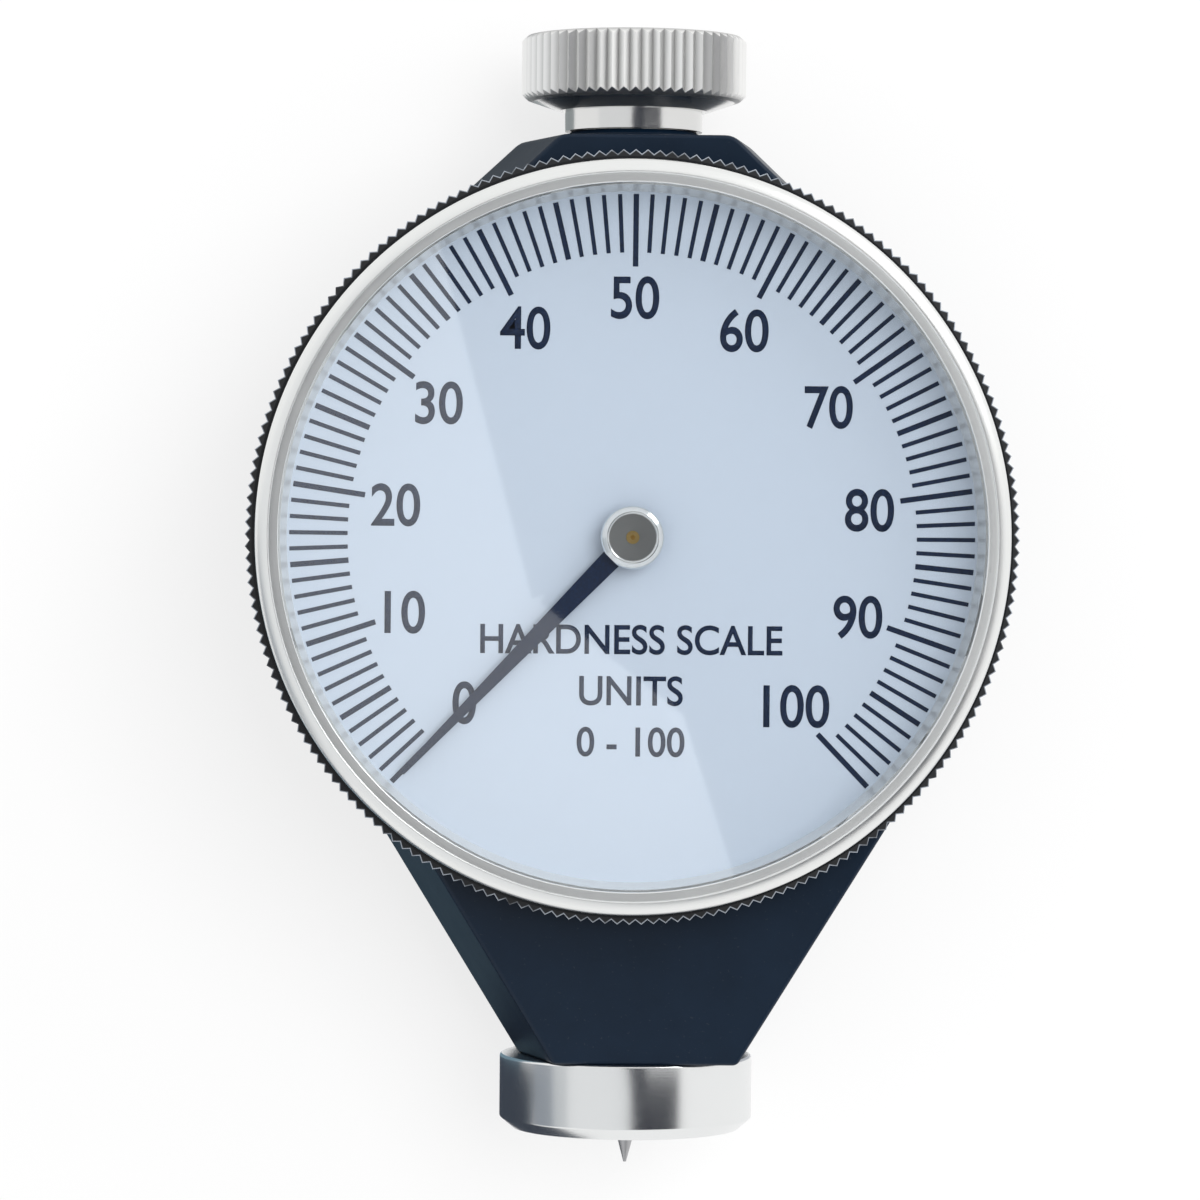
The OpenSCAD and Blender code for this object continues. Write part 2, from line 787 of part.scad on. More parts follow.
module knurled_ring() {
  color([0.07, 0.07, 0.08])
    difference() {
      intersection() {
        translate([0, 0, ring_z])
          linear_extrude(ring_top - ring_z)
            polygon(knurl(knurl_r, knurl_n));
        translate([0, 0, ring_z])
          rotate_extrude()
            polygon([
              [0, 0],
              [knurl_r - 0.5, 0],
              [knurl_r + 0.1, 0.6],
              [knurl_r + 0.1, ring_top - ring_z - 0.6],
              [knurl_r - 0.5, ring_top - ring_z],
              [0, ring_top - ring_z]
            ]);
      }
      translate([0, 0, ring_z - 1])
        cylinder(r = neck_r + run_c, h = 5);
      translate([0, 0, clip_z - 0.4])
        cylinder(r = neck_r + 0.45, h = 0.8);
      translate([0, 0, dial_z])
        cylinder(r = dial_r + run_c, h = 5);
      translate([0, 0, bezel_z])
        cylinder(r = bezel_r + fix_c, h = 5);
    }
}

module chrome_bezel() {
  roll_r = (bezel_r - lip_r - 0.62) / 2;
  roll_x = bezel_r - roll_r;
  color([0.88, 0.89, 0.9])
    rotate_extrude($fn = 180)
      polygon(concat(
        [[glass_r + run_c, bezel_z], [bezel_r, bezel_z]],
        [for (a = [0:15:180]) [roll_x, bezel_top - roll_r] + roll_r * [cos(a), sin(a)]],
        [
          [roll_x - roll_r - 0.06, bezel_top - roll_r - 0.12],
          [roll_x - roll_r - 0.16, bezel_top - roll_r + 0.04],
          [lip_r, crystal_top + 0.25],
          [lip_r, crystal_top],
          [glass_r + run_c, crystal_top]
        ]
      ));
}

module crystal() {
  color([0.85, 0.92, 0.95, 0.3])
    translate([0, 0, crystal_z])
      cylinder(r = glass_r, h = crystal_t);
}

module dial_spacer() {
  color([0.6, 0.62, 0.64])
    translate([0, 0, dial_top])
      difference() {
        cylinder(r = dial_r, h = dial_room);
        translate([0, 0, -0.001])
          cylinder(r1 = lip_r - 0.35, r2 = lip_r - 0.05, h = dial_room + 0.002);
      }
}

module dial_plate() {
  color([0.8, 0.84, 0.9])
    translate([0, 0, dial_z])
      difference() {
        cylinder(r = dial_r, h = dial_t);
        translate([0, 0, -1])
          cylinder(r = 1.6, h = 3);
      }
}

module top_knob() {
  rim_r = knob_d / 2;
  edge = knurl_depth + 0.05;
  color([0.8, 0.8, 0.78])
    on_stem(stud_y)
      union() {
        cylinder(d = stud_d, h = boss_y - stud_y + 0.5);
        translate([0, 0, boss_y - stud_y + 0.05])
          cylinder(d = collar_d, h = collar_h);
        translate([0, 0, boss_y - stud_y + collar_h])
          intersection() {
            linear_extrude(knob_h)
              polygon(knurl(rim_r, knob_n));
            rotate_extrude()
              polygon([
                [0, 0],
                [collar_d / 2 + edge, 0],
                [rim_r - edge, knob_cone_h],
                [rim_r + 0.05, knob_cone_h + edge],
                [rim_r + 0.05, knob_h - edge],
                [rim_r - edge, knob_h],
                [0, knob_h]
              ]);
          }
      }
}

housing();
rear_cover();
rear_cover_screws();
presser_foot();
guide_bush();
key_pin();
adjusting_plug();
calibrated_spring();
movement_plate();
movement_plate_screws();
upper_bridge();
upper_pillars();
upper_bridge_screws();
lower_bridge();
lower_pillars();
lower_bridge_screws();
hairspring();
hairspring_stud();
bezel_clip();
plunger();
indentor();
indentor_screw();
sector_gear();
sector_arbor();
pointer_arbor();
hairspring_collet();
pointer_needle();
pointer_hub();
knurled_ring();
chrome_bezel();
crystal();
dial_spacer();
dial_plate();
top_knob();
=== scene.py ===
"""Looks of a hand-held dial hardness gauge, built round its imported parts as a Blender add-on.

All places are in metres in the frame of the part: the gauge lies on its back, +Z runs out through
the dial and +Y from the presser foot to the knob.
"""

import json
import math

import bpy
from bpy.props import FloatProperty, FloatVectorProperty, IntProperty, PointerProperty
from mathutils import Matrix, Quaternion, Vector

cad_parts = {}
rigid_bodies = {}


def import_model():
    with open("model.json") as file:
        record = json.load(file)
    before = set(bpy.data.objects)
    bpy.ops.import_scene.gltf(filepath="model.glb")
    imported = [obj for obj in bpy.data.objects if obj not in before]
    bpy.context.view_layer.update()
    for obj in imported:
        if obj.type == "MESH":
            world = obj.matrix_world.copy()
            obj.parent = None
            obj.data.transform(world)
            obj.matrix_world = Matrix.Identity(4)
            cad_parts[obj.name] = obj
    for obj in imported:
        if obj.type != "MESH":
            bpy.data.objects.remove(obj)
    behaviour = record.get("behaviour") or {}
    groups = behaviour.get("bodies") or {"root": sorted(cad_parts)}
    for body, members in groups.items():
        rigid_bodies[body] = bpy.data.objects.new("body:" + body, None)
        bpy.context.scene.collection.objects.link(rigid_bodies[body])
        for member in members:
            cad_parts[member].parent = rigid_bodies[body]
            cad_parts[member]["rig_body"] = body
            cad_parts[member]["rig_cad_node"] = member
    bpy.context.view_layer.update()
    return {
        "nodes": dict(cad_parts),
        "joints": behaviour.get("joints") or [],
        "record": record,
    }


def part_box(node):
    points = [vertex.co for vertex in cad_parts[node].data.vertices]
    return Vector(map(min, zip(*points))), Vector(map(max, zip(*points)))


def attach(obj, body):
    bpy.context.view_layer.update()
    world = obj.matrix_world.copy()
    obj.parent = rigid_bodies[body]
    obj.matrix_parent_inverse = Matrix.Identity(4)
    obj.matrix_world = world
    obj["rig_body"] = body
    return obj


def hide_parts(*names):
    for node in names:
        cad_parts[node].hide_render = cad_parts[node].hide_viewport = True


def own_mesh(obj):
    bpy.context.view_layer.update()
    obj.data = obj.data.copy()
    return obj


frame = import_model()

bl_info = {
    "name": "Dial hardness gauge",
    "version": (1, 0, 0),
    "blender": (4, 5, 0),
    "location": "3D View > Sidebar > Gauge",
    "description": "Dresses the packed gauge with its scale, turned pieces, finishes and studio",
    "category": "Object",
}

MM = 0.001
UP = Vector((0, 0, 1))
ALONG = Vector((0, 1, 0))
MERGE = 1e-6
EDGE_STEPS = 6
GLASS_INDEX = 1.66

DIAL_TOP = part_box("dial_plate")[1].z
BEZEL_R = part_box("chrome_bezel")[1].x
BEZEL_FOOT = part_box("chrome_bezel")[0].z
BEZEL_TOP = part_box("chrome_bezel")[1].z
GLASS_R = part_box("crystal")[1].x
GLASS_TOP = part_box("crystal")[1].z
HUB_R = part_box("pointer_hub")[1].x
HUB_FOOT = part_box("pointer_hub")[0].z
HUB_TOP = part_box("pointer_hub")[1].z
BLADE_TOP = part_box("pointer_needle")[1].z
FOOT_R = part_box("presser_foot")[1].x
FOOT_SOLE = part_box("presser_foot")[0].y
FOOT_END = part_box("presser_foot")[1].y
FOOT_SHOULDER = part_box("housing")[0].y
STEM_Z = (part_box("presser_foot")[0].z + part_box("presser_foot")[1].z) / 2
KNOB_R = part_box("top_knob")[1].x
KNURL_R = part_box("knurled_ring")[1].x
KNURL_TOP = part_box("knurled_ring")[1].z
KNURL_TEETH = 200
KNURL_DEPTH = 0.35 * MM
SPRING_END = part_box("calibrated_spring")[1].y
SPRING_LEN = SPRING_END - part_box("calibrated_spring")[0].y
TRAVEL = next(j for j in frame["joints"] if j["name"] == "plunger_slide")["range_m"][1]


def length(name, description, default):
    """A length in metres that the user can change."""
    return FloatProperty(name=name, description=description, default=default, precision=6, unit="LENGTH")


def colour(name, description, default):
    """A linear colour that the user can change."""
    return FloatVectorProperty(
        name=name, description=description, default=default, size=3, min=0, max=1, subtype="COLOR"
    )


class GaugeSizes(bpy.types.PropertyGroup):
    """Sizes of the print and of the softened edges of the casting."""

    divisions: IntProperty(name="Divisions", description="Units on the scale", default=100)
    zero_angle: FloatProperty(
        name="Zero angle",
        description="Direction of the first mark, from +X",
        default=math.radians(225.90),
        subtype="ANGLE",
    )
    sweep: FloatProperty(
        name="Sweep", description="Angle of the whole scale", default=math.radians(272.15), subtype="ANGLE"
    )
    ink_t: length("Ink thickness", "Height of the print over the dial", 0.02 * MM)
    mark_r: length("Outer end of marks", "Radius where every mark ends", 23.78 * MM)
    unit_r: length("Inner end of unit marks", "Radius where the short marks start", 19.73 * MM)
    ten_r: length("Inner end of ten marks", "Radius where the long marks start", 18.75 * MM)
    thin_w: length("Width of unit marks", "Line width of the units", 0.29 * MM)
    thick_w: length("Width of main marks", "Line width of the fives and tens", 0.375 * MM)
    number_r: length("Radius of numbers", "Radius at the middle of the numbers", 16.6 * MM)
    number_h: length("Height of numbers", "Height of the figures", 2.88 * MM)
    number_w: length("Width of two figures", "Width of the number 50", 3.26 * MM)
    number_drop: length("Drop of numbers", "How far the side numbers hang below their marks", 0.5 * MM)
    caption_h: length("Height of caption", "Height of the caption's capitals", 1.95 * MM)
    caption_y: length("Upper caption line", "Middle of the upper line below the axis", -7.1 * MM)
    caption_gap: length("Caption line spacing", "Distance between the caption's lines", 3.55 * MM)
    edge: length("Softened edge", "Rounding of the casting's edges", 0.28 * MM)


class GaugeColours(bpy.types.PropertyGroup):
    """Linear colours of the finishes."""

    paint: colour("Paint", "Satin black paint of the casting", (0.0032, 0.0118, 0.0270))
    anodised: colour("Anodised", "Black of the knurled ring", (0.006, 0.007, 0.009))
    chrome: colour("Chrome", "Plated bezel and hub", (0.86, 0.87, 0.86))
    # The hub face's dark grey is a painted dark reflection on the plated face.
    hub: colour("Hub face", "Turned face of the hub", (0.30, 0.30, 0.29))
    nickel: colour("Nickel", "Satin nickel of the knob", (0.88, 0.88, 0.87))
    polished: colour("Polished steel", "Presser foot", (0.82, 0.83, 0.83))
    needle: colour("Needle", "Hardened needle", (0.48, 0.48, 0.49))
    steel: colour("Steel", "Screws, arbors and plunger", (0.52, 0.53, 0.55))
    spring: colour("Spring steel", "Tempered springs", (0.20, 0.23, 0.30))
    brass: colour("Brass", "Plates, bridges and wheels", (0.62, 0.43, 0.16))
    spacer: colour("Spacer", "Grey ring under the crystal", (0.80, 0.81, 0.80))
    dial: colour("Dial", "Pale enamel of the dial", (0.598, 0.672, 0.772))
    ink: colour("Ink", "Print and pointer", (0.002, 0.010, 0.034))


class GaugeStage(bpy.types.PropertyGroup):
    """Camera, sky and lamps of the studio."""

    camera: FloatVectorProperty(
        name="Camera",
        description="Place of the camera",
        default=(-0.0053, 0.001, 0.370),
        subtype="TRANSLATION",
    )
    aim: FloatVectorProperty(
        name="Aim",
        description="Point in the middle of the picture",
        default=(-0.00211, -0.00453, 0.010),
        subtype="TRANSLATION",
    )
    field: FloatProperty(
        name="Field", description="Angle of view", default=math.radians(13.58), subtype="ANGLE"
    )
    roll: FloatProperty(
        name="Roll", description="Turn of the camera", default=math.radians(0.50), subtype="ANGLE"
    )
    fill: FloatProperty(name="Fill", description="Strength of the sky on matt surfaces", default=0.78)
    key: FloatProperty(name="Key", description="Power of the key lamp", default=3.5, unit="POWER")
    rim: FloatProperty(name="Rim", description="Power of the rim lamp", default=1.2, unit="POWER")


class Socket:
    """A shader socket that takes Python arithmetic: each step adds a Math node."""

    def __init__(self, finish, socket):
        self.finish = finish
        self.socket = socket

    def math(self, operation, first, second):
        """Adds one Math node."""
        return self.finish.node("ShaderNodeMath", {"operation": operation}, {0: first, 1: second})

    def __add__(self, other):
        return self.math("ADD", self, other)

    def __sub__(self, other):
        return self.math("SUBTRACT", self, other)

    def __rsub__(self, other):
        return self.math("SUBTRACT", other, self)

    def __mul__(self, other):
        return self.math("MULTIPLY", self, other)

    def __pow__(self, other):
        return self.math("POWER", self, other)

    __radd__ = __add__


class Finish:
    """A node tree that is filled one call at a time."""

    def __init__(self, owner):
        owner.use_nodes = True
        self.owner = owner
        self.tree = owner.node_tree
        self.tree.nodes.clear()

    def node(self, kind, settings=None, sockets=None, output=0):
        """Adds a node, sets it up, fills its sockets with values or links, and gives one output."""
        made = self.tree.nodes.new(kind)
        for key, value in (settings or {}).items():
            setattr(made, key, value)
        for key, value in (sockets or {}).items():
            if isinstance(value, Socket):
                self.tree.links.new(value.socket, made.inputs[key])
            else:
                made.inputs[key].default_value = value
        return Socket(self, made.outputs[output])

    def place(self):
        """Object coordinates, which are those of the part's frame."""
        return self.node("ShaderNodeTexCoord", output="Object")

    def axes(self):
        """The X, Y and Z of a point as three values."""
        split = self.node("ShaderNodeSeparateXYZ", None, {0: self.place()}).socket.node
        return [Socket(self, out) for out in split.outputs]

    def noise(self, scale, detail, roughness=0.5):
        """Noise in space, about 0 to 1, with scale waves to the metre."""
        sockets = {"Vector": self.place(), "Scale": scale, "Detail": detail, "Roughness": roughness}
        return self.node("ShaderNodeTexNoise", None, sockets)

    def lines(self, along, scale):
        """Fine lines across a value, with scale lines to the metre."""
        sockets = {"W": along * scale, "Scale": 1.0, "Detail": 3.0}
        return self.node("ShaderNodeTexNoise", {"noise_dimensions": "1D"}, sockets)

    def ray(self, kind):
        """1 for one kind of ray and 0 for all others."""
        return self.node("ShaderNodeLightPath", output=f"Is {kind} Ray")

    def ramp(self, value, low, high):
        """0 below low, 1 above high and smooth between."""
        settings = {"interpolation_type": "SMOOTHSTEP", "clamp": True}
        return self.node("ShaderNodeMapRange", settings, {"Value": value, "From Min": low, "From Max": high})

    def blend(self, mask, low, high):
        """Mixes two colours by a mask."""
        return self.node("ShaderNodeMix", {"data_type": "RGBA"}, {0: mask, 6: rgba(low), 7: rgba(high)}, 2)

    def bump(self, height, strength, distance):
        """A surface normal from a height."""
        sockets = {"Height": height, "Strength": strength, "Distance": distance}
        return self.node("ShaderNodeBump", None, sockets)

    def surface(self, shader):
        """Sends a shader to the output of the material or the sky."""
        kind = "World" if isinstance(self.owner, bpy.types.World) else "Material"
        out = self.tree.nodes.new("ShaderNodeOutput" + kind)
        self.tree.links.new(shader.socket, out.inputs["Surface"])
        return self.owner

    def solid(self, sockets):
        """Closes the material with one main shader."""
        return self.surface(self.node("ShaderNodeBsdfPrincipled", None, sockets))


def rgba(value):
    """A colour with its alpha, or the socket it comes from."""
    return value if isinstance(value, Socket) else (*value, 1.0)


def shaded(value, amount):
    """A colour made lighter or darker."""
    return tuple(min(1.0, v * amount) for v in value)


def from_axis(across, up):
    """Distance of a point from an axis."""
    return (across * across + up * up) ** 0.5


def satin_paint(name, tint):
    """Satin paint with orange peel, fine dust and uneven gloss."""
    f = Finish(bpy.data.materials.new(name))
    grit = (0.05, 0.055, 0.062)
    peel = f.noise(1900, 2)
    dust = f.noise(260, 6, 0.62)
    speck = f.ramp(f.noise(5200, 1), 0.70, 0.78)
    base = f.blend(dust, shaded(tint, 0.8), shaded(tint, 1.35))
    return f.solid({
        "Base Color": f.blend(speck * 0.25, base, grit),
        "Roughness": 0.34 + dust * 0.14,
        "Specular IOR Level": 0.22,
        "Normal": f.bump(peel, 0.22, 0.02 * MM),
    })


def anodised(name, tint, teeth, depth):
    """Black anodised metal whose teeth are rubbed to metal along their front edges; that light line is partly
    wear and partly a painted highlight.
    """
    f = Finish(bpy.data.materials.new(name))
    # Light grey-blue of the rubbed tooth edges: partly wear, partly a painted highlight.
    bare_glint_colour = (0.42, 0.46, 0.52)
    x, y, z = f.axes()
    radius = from_axis(x, y)
    turn = y.math("ARCTAN2", y, x) * (teeth / math.tau)
    crest = KNURL_R - turn.math("PINGPONG", turn, 0.5) * (2 * depth)
    line = 1 - f.ramp(crest - radius, 0.02 * MM, 0.13 * MM)
    front = f.ramp(z, KNURL_TOP - 0.70 * MM, KNURL_TOP - 0.55 * MM)
    # The light line along the top tooth edges is partly wear and partly a painted highlight.
    wear_and_glint = line * front * f.ramp(f.noise(500, 4), 0.25, 0.55)
    return f.solid({
        "Base Color": f.blend(wear_and_glint, tint, bare_glint_colour),
        "Metallic": wear_and_glint * 0.6,
        "Roughness": 0.46 - wear_and_glint * 0.16 + f.noise(2600, 2) * 0.08,
        "Specular IOR Level": 0.25,
        "Normal": f.bump(f.noise(7000, 2), 0.12, 0.01 * MM),
    })


def turned_metal(name, tint, across, gloss, marks, metal=1.0):
    """Turned metal: fine tool lines across an axis or a radius, and faint smears."""
    f = Finish(bpy.data.materials.new(name))
    x, y, _ = f.axes()
    along = y if across == "y" else from_axis(x, y)
    lines = f.lines(along, 14000)
    cloud = f.noise(140, 4, 0.6)
    return f.solid({
        "Base Color": f.blend(lines * 0.5 + cloud * 0.5, shaded(tint, 0.94), shaded(tint, 1.04)),
        "Metallic": metal,
        "Roughness": gloss + lines * marks + f.ramp(cloud, 0.45, 0.75) * 0.05,
        "Normal": f.bump(lines, 0.05, 0.01 * MM),
    })


def satin_nickel(name, tint):
    """Blasted nickel, darker down the grooves of the knurl as painted shade, and smoother on the collar and
    the ends.
    """
    f = Finish(bpy.data.materials.new(name))
    x, _, z = f.axes()
    radius = from_axis(x, z - STEM_Z)
    crest = f.ramp(radius, KNOB_R - 0.40 * MM, KNOB_R - 0.05 * MM)
    collar = 1 - f.ramp(radius, KNOB_R - 0.9 * MM, KNOB_R - 0.7 * MM)
    grain = f.noise(3200, 4, 0.6)
    # Full colour on the crests, collar and ends; the knurl's grooves get a painted shade.
    free_of_groove_shade = crest * 0.85 + collar * 0.40
    return f.solid({
        "Base Color": f.blend(free_of_groove_shade, shaded(tint, 0.66), shaded(tint, 1.08)),
        "Metallic": 1.0,
        "Roughness": 0.40 - crest * 0.10 - collar * 0.27 + grain * 0.10,
        "Normal": f.bump(grain + f.lines(radius, 9000) * 0.5, 0.10, 0.02 * MM),
    })


def plain_metal(name, tint, gloss, stain):
    """Brushed metal of the inner pieces with a clouded, slightly stained face."""
    f = Finish(bpy.data.materials.new(name))
    cloud = f.noise(420, 5, 0.6)
    brushed = f.noise(4200, 3, 0.6)
    return f.solid({
        "Base Color": f.blend(f.ramp(cloud, 0.35, 0.75) * stain, tint, shaded(tint, 0.6)),
        "Metallic": 1.0,
        "Roughness": gloss + cloud * 0.12,
        "Normal": f.bump(brushed, 0.10, 0.01 * MM),
    })


def hub_chrome(name, bright, face):
    """Plated hub: a bright bevel round a face that was turned in rings, darkened by a painted dark
    reflection.
    """
    f = Finish(bpy.data.materials.new(name))
    x, y, _ = f.axes()
    radius = from_axis(x, y)
    rings = f.lines(radius, 16000)
    bevel = f.ramp(radius, HUB_R - 0.60 * MM, HUB_R - 0.50 * MM)
    return f.solid({
        # The face's darker colour is a painted dark reflection.
        "Base Color": f.blend(bevel, face, bright),
        "Metallic": 1.0,
        "Roughness": 0.38 - bevel * 0.28 + rings * 0.10,
        "Normal": f.bump(rings, 0.06, 0.01 * MM),
    })


def dial_enamel(name, tint):
    """Pale satin enamel with a fine grain."""
    f = Finish(bpy.data.materials.new(name))
    grain = f.noise(6500, 3, 0.6)
    cloud = f.noise(45, 2)
    return f.solid({
        "Base Color": f.blend(grain * 0.5 + cloud * 0.5, shaded(tint, 0.975), shaded(tint, 1.025)),
        "Roughness": 0.42 + grain * 0.10,
        "Specular IOR Level": 0.35,
        "Normal": f.bump(grain, 0.05, 0.005 * MM),
    })


def dark_print(name, tint):
    """Dark navy print and paint, a little uneven in colour."""
    f = Finish(bpy.data.materials.new(name))
    grain = f.noise(5200, 3, 0.6)
    return f.solid({
        "Base Color": f.blend(f.ramp(grain, 0.35, 0.7), tint, shaded(tint, 1.7)),
        "Roughness": 0.45 + grain * 0.15,
        "Specular IOR Level": 0.3,
    })


def clear_crystal(name):
    """Clear glass: it lets the dial through and mirrors the room by its angle, with a few smears."""
    f = Finish(bpy.data.materials.new(name))
    smear = f.ramp(f.noise(70, 5, 0.65), 0.50, 0.85)
    leaving = f.node("ShaderNodeNewGeometry", output="Backfacing")
    index = GLASS_INDEX + leaving * (1 / GLASS_INDEX - GLASS_INDEX)
    gleam = f.node("ShaderNodeFresnel", None, {"IOR": index})
    clear = f.node("ShaderNodeBsdfTransparent", None, {"Color": (0.985, 0.992, 0.997, 1.0)})
    gloss = f.node("ShaderNodeBsdfGlossy", None, {"Color": (1.0, 1.0, 1.0, 1.0), "Roughness": 0.02})
    mix = f.node("ShaderNodeMixShader", None, {0: gleam + smear * 0.006, 1: clear, 2: gloss})
    return f.surface(mix)


def start_piece():
    """Leaves edit mode and selects nothing, so that the next operator works on its own piece."""
    if bpy.context.mode != "OBJECT":
        bpy.ops.object.mode_set(mode="OBJECT")
    bpy.ops.object.select_all(action="DESELECT")


def end_piece(name, body, material, smooth=None, replaced=()):
    """Settles the active piece at the origin, names it, finishes it and hangs it on its body."""
    piece = bpy.context.object
    bpy.ops.object.transform_apply(location=True, rotation=True, scale=True)
    piece.name = name
    piece.data.name = name
    piece.data.materials.clear()
    piece.data.materials.append(material)
    if smooth is not None:
        bpy.ops.object.shade_smooth_by_angle(angle=smooth)
    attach(piece, body)
    if replaced:
        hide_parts(*replaced)
    bpy.ops.object.select_all(action="DESELECT")


def finish_named(name):
    """A finish that the finishes operator has made."""
    material = bpy.data.materials.get(name)
    if material is None:
        raise RuntimeError(f"the finish {name} isn't there: run the finishes first")
    return material


def arc(centre, radius, start, end, steps):
    """Points of a round stretch of an outline, with angles in degrees."""
    turns = [math.radians(start + (end - start) * i / steps) for i in range(steps + 1)]
    return [(centre[0] + radius * math.cos(a), centre[1] + radius * math.sin(a)) for a in turns]


def turn_outline(outline, centre, axis, steps):
    """Draws an outline of (radius, height) points edge by edge and spins it round the axis."""
    points = [centre + Vector((r, 0, 0)) + axis * h for r, h in outline]
    start_piece()
    bpy.ops.mesh.primitive_plane_add(size=MM, location=points[0])
    bpy.ops.object.mode_set(mode="EDIT")
    bpy.ops.mesh.merge(type="CENTER")
    for here, there in zip(points, points[1:]):
        bpy.ops.mesh.extrude_vertices_move(TRANSFORM_OT_translate={"value": there - here})
    bpy.ops.mesh.select_all(action="SELECT")
    bpy.ops.mesh.spin(steps=steps, angle=math.tau, center=centre, axis=axis)
    bpy.ops.mesh.select_all(action="SELECT")
    bpy.ops.mesh.remove_doubles(threshold=MERGE)
    bpy.ops.mesh.normals_make_consistent(inside=False)
    bpy.ops.object.mode_set(mode="OBJECT")


def copy_node(node):
    """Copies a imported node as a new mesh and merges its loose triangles."""
    start_piece()
    source = frame["nodes"][node]
    source.select_set(True)
    bpy.context.view_layer.objects.active = source
    bpy.ops.object.duplicate()
    piece = bpy.context.object
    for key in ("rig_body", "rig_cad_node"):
        del piece[key]
    bpy.ops.object.parent_clear(type="CLEAR")
    bpy.ops.mesh.customdata_custom_splitnormals_clear()
    bpy.ops.object.mode_set(mode="EDIT")
    bpy.ops.mesh.select_all(action="SELECT")
    bpy.ops.mesh.remove_doubles(threshold=2 * MERGE)
    bpy.ops.object.mode_set(mode="OBJECT")
    return piece


class GAUGE_OT_finishes(bpy.types.Operator):
    """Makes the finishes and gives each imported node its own"""

    bl_idname = "gauge.finishes"
    bl_label = "Finishes"

    def execute(self, context):
        c = context.scene.gauge_colours
        made = {
            "black_paint": satin_paint("black_paint_finish", c.paint),
            "black_anodised": anodised("black_anodised_finish", c.anodised, KNURL_TEETH, KNURL_DEPTH),
            "chrome": turned_metal("chrome_finish", c.chrome, "radius", 0.30, 0.08),
            "satin_nickel": satin_nickel("satin_nickel_finish", c.nickel),
            "polished_steel": turned_metal("polished_steel_finish", c.polished, "y", 0.16, 0.10),
            "steel": plain_metal("steel_finish", c.steel, 0.26, 0.5),
            "spring_steel": plain_metal("spring_steel_finish", c.spring, 0.24, 0.4),
            "brass": plain_metal("brass_finish", c.brass, 0.24, 0.6),
            "grey_metal": turned_metal("grey_metal_finish", c.spacer, "radius", 0.30, 0.12, 0.35),
            "dial_white": dial_enamel("dial_white_finish", c.dial),
            "pointer_paint": dark_print("pointer_paint_finish", c.ink),
            "crystal": clear_crystal("crystal_finish"),
        }
        for part in frame["record"]["subparts"]:
            slots = frame["nodes"][part["node"]].data.materials
            slots.clear()
            slots.append(made[part["material_slot"]])
        needle = frame["nodes"]["indentor"].data.materials
        needle[0] = plain_metal("needle_steel_finish", c.needle, 0.34, 0.3)
        return {"FINISHED"}


class GAUGE_OT_scale_marks(bpy.types.Operator):
    """Prints the unit, five and ten marks of the scale"""

    bl_idname = "gauge.scale_marks"
    bl_label = "Scale marks"

    def mark(self, sizes, unit, inner, width):
        """Draws one mark as a thin raised bar that points at the axis."""
        turn = sizes.zero_angle - sizes.sweep * unit / sizes.divisions
        middle = (inner + sizes.mark_r) / 2
        place = Vector((middle * math.cos(turn), middle * math.sin(turn), DIAL_TOP))
        start_piece()
        bpy.ops.mesh.primitive_plane_add(size=1, location=place, rotation=(0, 0, turn))
        bpy.context.object.scale = (sizes.mark_r - inner, width, 1)
        bpy.ops.object.transform_apply(location=True, rotation=True, scale=True)
        bpy.ops.object.mode_set(mode="EDIT")
        bpy.ops.mesh.select_all(action="SELECT")
        bpy.ops.mesh.extrude_region_move(TRANSFORM_OT_translate={"value": (0, 0, sizes.ink_t)})
        bpy.ops.mesh.select_all(action="SELECT")
        bpy.ops.mesh.normals_make_consistent(inside=False)

    def repeat(self, sizes, times, units):
        """Copies what is drawn round the dial, some units further each time."""
        step = sizes.sweep * units / sizes.divisions
        bpy.ops.mesh.select_all(action="SELECT")
        bpy.ops.mesh.spin(steps=times, dupli=True, angle=step * times, center=(0, 0, 0), axis=UP)

    def execute(self, context):
        sizes = context.scene.gauge_sizes
        ink = finish_named("pointer_paint_finish")
        fives = sizes.divisions // 5
        tens = sizes.divisions // 10
        rows = (
            ("scale_unit_marks", 1, sizes.unit_r, sizes.thin_w, ((3, 1), (fives - 1, 5))),
            ("scale_five_marks", 5, sizes.unit_r, sizes.thick_w, ((tens - 1, 10),)),
            ("scale_ten_marks", 0, sizes.ten_r, sizes.thick_w, ((tens, 10),)),
        )
        for name, first, inner, width, copies in rows:
            self.mark(sizes, first, inner, width)
            for times, units in copies:
                self.repeat(sizes, times, units)
            bpy.ops.object.mode_set(mode="OBJECT")
            end_piece(name, "bezel_body", ink)
        return {"FINISHED"}


def set_words(words, steps=12, weight=0.0):
    """Sets words in the built-in letters at size 1 as a flat mesh, with curves of some steps."""
    start_piece()
    bpy.ops.object.text_add(location=(0, 0, 0))
    letters = bpy.context.object.data
    letters.body = words
    letters.resolution_u = steps
    letters.offset = weight
    bpy.ops.object.convert(target="MESH")
    return bpy.context.object


def print_words(words, place, scale, ink_t):
    """Prints words as a thin raised mesh, with their middle at a place."""
    letters = set_words(words, steps=8, weight=0.012)
    low, high = Vector(letters.bound_box[0]), Vector(letters.bound_box[6])
    middle = (low + high) / 2
    letters.scale = (scale[0], scale[1], 1)
    letters.location = place - Vector((middle.x * scale[0], middle.y * scale[1], 0))
    bpy.ops.object.transform_apply(location=True, rotation=True, scale=True)
    bpy.ops.object.mode_set(mode="EDIT")
    bpy.ops.mesh.select_all(action="SELECT")
    bpy.ops.mesh.remove_doubles(threshold=MERGE)
    bpy.ops.mesh.extrude_region_move(TRANSFORM_OT_translate={"value": (0, 0, ink_t)})
    bpy.ops.mesh.select_all(action="SELECT")
    bpy.ops.mesh.normals_make_consistent(inside=False)
    bpy.ops.object.mode_set(mode="OBJECT")
    return letters


